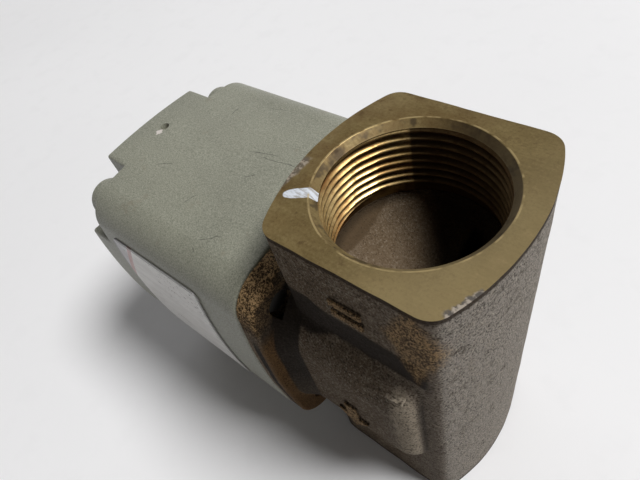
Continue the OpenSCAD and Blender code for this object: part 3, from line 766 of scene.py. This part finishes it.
def name_plate_print():
    """A blank white printed plate: thin dark rim, one red stripe, a grey zone and scuffs."""
    p = Paint("name_plate_print", Metallic=0.0, Specular_IOR_Level=0.9)
    x, _, z = p.split()
    wipe = p.noise(120, 4, 0.65, p.mapped((1, 1, 3), (0, 0.5, 0)))
    base = p.mix(p.step(wipe, 0.40, 0.62), srgb(232, 231, 228), srgb(246, 245, 242))
    slant = x + (81.5 - z) * 0.53
    grey = p.step(slant, -77.6, -78.0)
    base = p.mix(grey * 0.8, base, srgb(176, 172, 180))
    stripe = p.step(slant, -77.9, -77.5) * p.step(slant, -75.3, -75.7)
    base = p.mix(stripe * 0.85, base, srgb(178, 104, 100))
    edges = []
    for value, low, high in ((x, PLATE_LOW[0], PLATE_HIGH[0]), (z, PLATE_LOW[2], PLATE_HIGH[2])):
        half = (high - low) / 2
        edges.append(p.step(abs(value - (low + high) / 2), half - 1.2, half - 0.8))
    rim = p.most(*edges)
    base = p.mix(rim * 0.75, base, srgb(74, 72, 66))
    specks = p.noise(520, 3, 0.7, p.mapped((1, 1, 2.2), (0, 0.7, 0)))
    zone = p.step(p.noise(46, 3, 0.6), 0.40, 0.60)
    base = p.mix(p.step(specks, 0.6, 0.64) * zone, base, srgb(86, 80, 68))
    line = p.noise(40, 2, 0.5, p.mapped((1, 1, 30), (0, 0.85, 0)), 0.5)
    base = p.mix(p.step(line, 0.7, 0.72) * 0.7, base, srgb(110, 104, 90))
    return p.set(Base_Color=base, Roughness=p.step(wipe, 0.3, 0.7, 0.42, 0.30),
                 Normal=p.bump(specks, 0.15, 0.0002))


def turned_finish(name, color, rough, metallic=1.0, grain=500, strength=0.05, ringed=True):
    """A turned, drawn or moulded finish; ringed ones carry fine turning marks along X."""
    p = Paint(name, Metallic=metallic)
    tone = p.noise(90, 3, 0.6)
    fine = p.noise(grain, 3, 0.6, p.mapped((12, 0.6, 0.6)) if ringed else None)
    base = p.mix(p.step(tone, 0.35, 0.65), color, tuple(c * 0.84 for c in color[:3]) + (1,))
    return p.set(Base_Color=base, Roughness=p.step(fine, 0.3, 0.7, rough, rough + 0.08),
                 Normal=p.bump(fine, strength, 0.0002))


# ---------------------------------------------------------------- the body casting
def raised(body, points, face, height):
    """Adds a raised cast mark over (x, z) points on the near side, where the wall is at -face."""
    bm = bmesh.new()
    ends = [[bm.verts.new((x * MM, -y * MM, z * MM)) for x, z in points]
            for y in (face - 1.5, face + height)]
    for k in range(len(points)):
        n = (k + 1) % len(points)
        bm.faces.new([ends[0][k], ends[0][n], ends[1][n], ends[1][k]])
    bm.faces.new(ends[0])
    bm.faces.new(ends[1][::-1])
    mark = from_bmesh("mark", bm)
    soft = mark.modifiers.new("edges", "BEVEL")
    soft.width = 0.4 * height * MM
    soft.segments = 2
    apply_modifiers(mark)
    cut(body, mark, "UNION")


def paint_body(body):
    """Gives the cast skin, the milled faces and the threads their materials."""
    paint(body, cast_bronze(), machined_face(), thread_metal())
    cast, milled, thread = range(3)
    mesh = body.data
    centre = np.empty(len(mesh.polygons) * 3)
    normal = np.empty(len(mesh.polygons) * 3)
    mesh.polygons.foreach_get("center", centre)
    mesh.polygons.foreach_get("normal", normal)
    x, y, z = (centre.reshape(-1, 3) / MM).T
    depth = np.minimum(HEIGHT - z, z)
    bore = np.hypot(x, y)
    stem = np.hypot(y, z - AXIS_Z)
    index = np.full(len(x), cast)
    index[(depth < 0.01) & (np.abs(normal.reshape(-1, 3)[:, 2]) > 0.9)] = milled
    index[(depth < THREAD_START + 0.05) & (bore < MOUTH_R + 0.05)] = milled
    index[(depth >= THREAD_START + 0.01) & (depth < CAST_DEPTH - 0.05)
          & (bore < UNDERCUT_R + 0.05)] = thread
    index[x < -JOINT + 0.01] = milled
    index[(x < -SPIGOT_AT + 0.2) & (stem < SPIGOT_R + 0.05)] = milled
    index[(np.abs(stem - SEAT_R) < 0.05) & (x > -0.05) & (x < 6.5)] = milled
    mesh.polygons.foreach_set("material_index", index)


def build_body():
    body = solid_from(body_field, (-32, -39.5, -2.4), (28, 39.5, 112.4), 0.7, "body_casting")
    arrow = [(-5.2, 6), (0, -1), (5.2, 6), (2, 6), (2, 13), (-2, 13), (-2, 6)]
    raised(body, [(ARROW_X + x, ARROW_Z + z) for x, z in arrow], CHAMBER_W / 2, 0.8)
    raised(body, [(4, 72.6), (14, 75.6), (14, 76.4), (4, 73.4)], CHAMBER_W / 2 - 1.4, 0.45)
    for low in (PAD_Z, PAD_Z + 4):
        raised(body, [(PAD_X, low), (PAD_X + 8.4, low), (PAD_X + 8.4, low + 2.2),
                      (PAD_X, low + 2.2)], FLATS, 0.8)
    for lo, hi in (((-60, -60, HEIGHT), (60, 60, HEIGHT + 20)), ((-60, -60, -20), (60, 60, 0)),
                   ((-60, -60, -20), (-JOINT, 60, HEIGHT + 20))):
        cut(body, block("trim", lo, hi))
    cut(body, solid_from(passage_field, (-22, -22, CAST_DEPTH - 3),
                         (22, 22, HEIGHT - CAST_DEPTH + 3), 0.8, "passages"))
    cut(body, port_cutter("port", (0, 0, HEIGHT), "z"))
    cut(body, port_cutter("port", (0, 0, 0), "-z"))
    axis = (0, 0, AXIS_Z)
    cut(body, cylinder("stem_side", STEM_R, 0, JOINT + 1, "out", axis))
    cut(body, cylinder("spigot", SPIGOT_R, SPIGOT_AT, JOINT + 1, "out", axis))
    cut(body, cylinder("seat", SEAT_R, -7, 1, "out", axis))
    for sy, sz in CORNERS:
        cut(body, cylinder("hole", SCREW_R + 0.05, NECK_OUT - 2, JOINT + 1, "out",
                           (0, sy * SCREW_AT, AXIS_Z + sz * SCREW_AT), 48))
    smooth(body, 38)
    paint_body(body)
    put(body, "valve", "valve_body")


# ---------------------------------------------------------------- the cylinder casing
def casing_quarter():
    """One side and one corner of the casing outline, as (u, v) points round the axis; the
    side's points at v = -ARM and ARM are where an arm of the end block starts and ends."""
    flat = CASING_HALF - CASING_R
    side_r = (flat ** 2 + CASING_BOW ** 2) / (2 * CASING_BOW)
    centre = CASING_HALF + CASING_BOW - side_r
    side = [-flat, -22, *np.linspace(-ARM, ARM, 19), 22, flat]
    points = [(centre + math.sqrt(side_r ** 2 - v * v), v) for v in side]
    points += [(flat + CASING_R * math.cos(math.pi / 2 * k / 16),
                flat + CASING_R * math.sin(math.pi / 2 * k / 16)) for k in range(1, 16)]
    return points, 2, 20


def casing_block():
    """The painted outside: a bowed square with round corners, stepped down to four shoulders."""
    quarter, first, last = casing_quarter()
    bm = bmesh.new()

    def ring(out, points):
        return [bm.verts.new((-out * MM, y * MM, (AXIS_Z + z) * MM)) for y, z in points]

    outline, inner = [], []
    for turn in range(4):
        c, s = round(math.cos(turn * math.pi / 2)), round(math.sin(turn * math.pi / 2))
        outline += [(c * u - s * v, s * u + c * v) for u, v in quarter]
        inner.append((ARM * (c - s), ARM * (s + c)))
    count, size = len(quarter), len(outline)
    low, mid, high = ring(CASING_OUT, outline), ring(SHOULDER, outline), ring(CASING_END, outline)
    step, top = ring(SHOULDER, inner), ring(CASING_END, inner)
    for k in range(size):
        n = (k + 1) % size
        bm.faces.new([low[k], low[n], mid[n], mid[k]])
        if first <= k % count < last:
            bm.faces.new([mid[k], mid[n], high[n], high[k]])
    cap = []
    for turn in range(4):
        start, end = turn * count + last, (turn + 1) * count + first
        corner = [mid[k % size] for k in range(start, end + 1)]
        bm.faces.new(corner + [step[turn]])
        bm.faces.new([mid[start], step[turn], top[turn], high[start]])
        bm.faces.new([step[turn], mid[end % size], high[end % size], top[turn]])
        cap += high[turn * count + first:start + 1] + [top[turn]]
    bm.faces.new(cap)
    bm.faces.new(low[::-1])
    bmesh.ops.delete(bm, geom=[v for v in bm.verts if not v.link_faces], context="VERTS")
    return from_bmesh("casing_shell", bm)


def build_casing():
    casing = casing_block()
    bevel = casing.modifiers.new("edges", "BEVEL")
    bevel.width = 0.9 * MM
    bevel.segments = 4
    bevel.limit_method = "ANGLE"
    bevel.angle_limit = math.radians(40)
    apply_modifiers(casing)
    axis = (0, 0, AXIS_Z)
    cut(casing, lathe("bore", [(0, CASING_OUT - 1), (RIM_R, CASING_OUT - 1), (RIM_R, RIM_OUT),
                               (BORE_R, RIM_OUT), (BORE_R, BORE_END), (POCKET_R, BORE_END),
                               (POCKET_R, POCKET_END), (0, POCKET_END)], "out", axis))
    long, wide = CASING_HALF - WALL, ARM - WALL
    for a, b in ((long, wide), (wide, long)):
        cut(casing, block("hollow", (-POCKET_END, -a, AXIS_Z - b), (-BORE_END + 1, a, AXIS_Z + b)))
    for sy, sz in CORNERS:
        cut(casing, cylinder("hole", SCREW_R + 0.2, CASING_OUT - 1, SHOULDER + 2, "out",
                             (0, sy * SCREW_AT, AXIS_Z + sz * SCREW_AT), 48))
    cut(casing, lathe("air", [(0, 20), (AIR_R, 20), (AIR_R, AIR_FACE - 0.8),
                              (AIR_R + 0.8, AIR_FACE), (8, AIR_FACE), (8, AIR_FACE + 4),
                              (0, AIR_FACE + 4)], "y", (-AIR_AT, 0, AXIS_Z), 96))
    top = CASING_HIGH[2] - AXIS_Z
    cut(casing, lathe("vent", [(0, 0), (1.4, 0), (1.4, top - 0.5), (1.6, top), (1.6, top + 7.5),
                               (0, top + 7.5)], "z", (-VENT_AT, 0, AXIS_Z), 48))
    smooth(casing, 40)
    paint(casing, casing_paint("casing_paint", 1.0, SCRATCHES))
    put(casing, "valve", "cylinder_casing")


def build_screws():
    """Four M8 socket cap screws, painted over, from the shoulders into the flange."""
    coat = casing_paint("screw_paint", 0.6)
    steel = turned_finish("screw_steel", srgb(120, 118, 112), 0.42)
    low, top = NECK_OUT + 1.5, SHOULDER + HEAD_H
    profile = [(0, low), (SCREW_R - 0.7, low), (SCREW_R, low + 0.7), (SCREW_R, SHOULDER),
               (HEAD_R - 0.25, SHOULDER), (HEAD_R, SHOULDER + 0.25), (HEAD_R, top - 1.2),
               (HEAD_R - 0.3, top - 0.5), (HEAD_R - 1.1, top), (0, top)]
    hexagon = 6 / math.sqrt(3)       # corner radius of a socket 6 mm across its flats
    socket = [(0, SHOULDER + 4), (hexagon, SHOULDER + 4), (hexagon, top - 0.3),
              (hexagon + 0.4, top + 1), (0, top + 1)]
    for sy, sz in CORNERS:
        at = (0, sy * SCREW_AT, AXIS_Z + sz * SCREW_AT)
        name = "casing_screw_" + ("far" if sy > 0 else "near") + ("_top" if sz > 0 else "_low")
        screw = lathe(name, profile, "out", at, 96)
        cut(screw, lathe("socket", socket, "out", at, 6))
        smooth(screw, 30)
        paint(screw, coat, steel)
        for face in screw.data.polygons:
            face.material_index = 1 if face.center.x > -(SHOULDER - 0.01) * MM else 0
        put(screw, "valve", "casing_screws")


def build_spring():
    """The return spring, with closed and ground end turns."""
    steps, sides = 72, 20
    free = TURNS - 1.5
    low, high = SPRING_LOW + WIRE_R, SPRING_HIGH - WIRE_R
    bm = bmesh.new()
    rings = []
    for k in range(int(TURNS * steps) + 1):
        turn = k / steps
        t = min(max((turn - 0.75) / free, 0), 1)
        height = low + (high - low) * t
        a = 2 * math.pi * turn
        ring = []
        for s in range(sides):
            b = 2 * math.pi * s / sides
            r = SPRING_R + WIRE_R * math.cos(b)
            out = height + WIRE_R * math.sin(b)
            ring.append(bm.verts.new((-out * MM, -r * math.sin(a) * MM,
                                      (AXIS_Z + r * math.cos(a)) * MM)))
        rings.append(ring)
    for a, b in zip(rings, rings[1:]):
        for s in range(sides):
            n = (s + 1) % sides
            bm.faces.new([a[s], a[n], b[n], b[s]])
    bm.faces.new(rings[0])
    bm.faces.new(rings[-1][::-1])
    spring = from_bmesh("coil_spring", bm)
    smooth(spring, 50)
    paint(spring, turned_finish("spring_steel", srgb(92, 94, 98), 0.38, ringed=False))
    put(spring, "valve", "return_spring")
    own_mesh(spring)


build_body()
build_casing()
build_screws()
build_spring()

# ---------------------------------------------------------------- finishes of the CAD pieces
steel = turned_finish("turned_stainless", srgb(196, 196, 194), 0.26)
aluminium = turned_finish("turned_aluminium", srgb(206, 208, 210), 0.34)
brass = turned_finish("turned_brass", srgb(206, 164, 88), 0.30)
rubber = turned_finish("black_rubber", srgb(28, 28, 28), 0.55, 0.0, 900, 0.12, False)
ptfe = turned_finish("white_ptfe", srgb(228, 228, 222), 0.48, 0.0, 700, 0.05, False)
FINISHES = {
    steel: ["seat_ring", "disc_holder", "disc_washer", "disc_nut", "stem", "piston_washer",
            "piston_nut"],
    aluminium: ["bonnet", "piston"],
    brass: ["gland_nut", "packing_washer"],
    rubber: ["bonnet_body_seal", "bonnet_cylinder_seal", "piston_seal", "piston_hub_seal"],
    ptfe: ["disc_seal", "packing_rings"],
    turned_finish("pressed_zinc", srgb(186, 184, 176), 0.36): ["spring_plate"],
    turned_finish("cup_springs", srgb(120, 122, 126), 0.34): ["packing_springs"],
    turned_finish("sintered_bronze", srgb(168, 122, 74), 0.5, 0.9, 1400, 0.3, False):
        ["stem_bush", "vent_filter"],
    turned_finish("bronze_ptfe", srgb(118, 88, 56), 0.55, 0.1, 900, 0.08, False):
        ["piston_wear_ring"],
    turned_finish("grey_gasket", srgb(84, 86, 90), 0.62, 0.0, 1100, 0.2, False): ["seat_gasket"],
    turned_finish("green_wiper", srgb(58, 112, 84), 0.5, 0.0, 800, 0.08, False): ["wiper_ring"],
    name_plate_print(): ["name_plate"],
}
for material, nodes in FINISHES.items():
    for node in nodes:
        paint(frame["nodes"][node], material)


# ---------------------------------------------------------------- floor, light and camera
def build_floor(rows=36, sides=96):
    """A pale sheet, flat under the valve and rising all round it."""
    bm = bmesh.new()
    rings = [[bm.verts.new((0, 0, 0))]]
    for k in range(1, rows + 1):
        r = FLOOR_R * k / rows
        height = FLOOR_RISE * max(r - FLOOR_FLAT, 0) ** 2
        rings.append([bm.verts.new((r * math.cos(a), r * math.sin(a), height))
                      for a in np.linspace(0, 2 * math.pi, sides, endpoint=False)])
    for a, b in zip(rings, rings[1:]):
        for k in range(sides):
            n = (k + 1) % sides
            bm.faces.new(list(dict.fromkeys([a[k % len(a)], b[k], b[n], a[n % len(a)]])))
    floor = from_bmesh("floor", bm)
    smooth(floor, 60)
    p = Paint("pale_floor", Metallic=0.0)
    cloud = p.noise(3, 3, 0.5)
    fine = p.noise(60, 3, 0.6)
    base = p.mix(p.step(cloud, 0.3, 0.7), srgb(239, 239, 241), srgb(243, 243, 245))
    base = p.mix(p.step(fine, 0.5, 0.7) * 0.25, base, srgb(234, 234, 236))
    # pale as seen, in the open or in a reflection, but throwing back little light
    path = p.add("ShaderNodeLightPath").outputs
    camera, glossy, through = (Value(p, path["Is " + ray + " Ray"])
                               for ray in ("Camera", "Glossy", "Transmission"))
    seen = p.most(camera, p.most(glossy, through))
    base = p.mix(seen, srgb(158, 156, 154), base)
    p.set(Base_Color=base, Roughness=p.step(fine, 0.3, 0.7, 0.6, 0.7),
          Normal=p.bump(fine, 0.05, 0.0005))
    paint(floor, p.material)


def area_light(name, at, target, size, power, color=(1, 1, 1)):
    data = bpy.data.lights.new(name, "AREA")
    data.shape = "DISK"
    data.size = size
    data.energy = power
    data.color = color
    lamp = bpy.data.objects.new(name, data)
    bpy.context.scene.collection.objects.link(lamp)
    lamp.location = at
    lamp.rotation_euler = (Vector(target) - Vector(at)).to_track_quat("-Z", "Y").to_euler()


def build_light():
    """A soft key from +X +Y above, a weak ceiling and a faint warm world."""
    centre = Vector((-0.03, 0, 0.06))
    area_light("key", centre + 4.2 * Vector((0.56, 0.30, 1.0)).normalized(), centre, 1.5, 168,
               (1.0, 0.995, 0.985))
    area_light("ceiling", centre + 2.4 * Vector((-0.50, 0.37, 0.79)).normalized(), centre, 2.2, 7.0,
               (0.97, 0.985, 1.0))
    world = bpy.data.worlds.new("studio")
    world.use_nodes = True
    sky = world.node_tree.nodes["Background"].inputs
    sky["Color"].default_value = (1.0, 0.96, 0.91, 1)
    sky["Strength"].default_value = 0.035
    bpy.context.scene.world = world


def build_camera():
    """The photo's view, fitted to the outlines of the port face, collar, flange and casing."""
    data = bpy.data.cameras.new("photo_view")
    data.lens = 28.465
    data.sensor_width = 36
    data.clip_start = 0.01
    camera = bpy.data.objects.new("photo_view", data)
    bpy.context.scene.collection.objects.link(camera)
    right = Vector((0.76354, 0.61296, -0.20321))
    up = Vector((-0.38579, 0.68533, 0.61765))
    forward = Vector((-0.51786, 0.39320, -0.75975))
    turn = Matrix((right, up, -forward)).transposed().to_4x4()
    camera.matrix_world = Matrix.Translation((0.04306, -0.05896, 0.18427)) @ turn
    bpy.context.scene.camera = camera


build_floor()
build_light()
build_camera()
bpy.context.scene.view_settings.view_transform = "Standard"
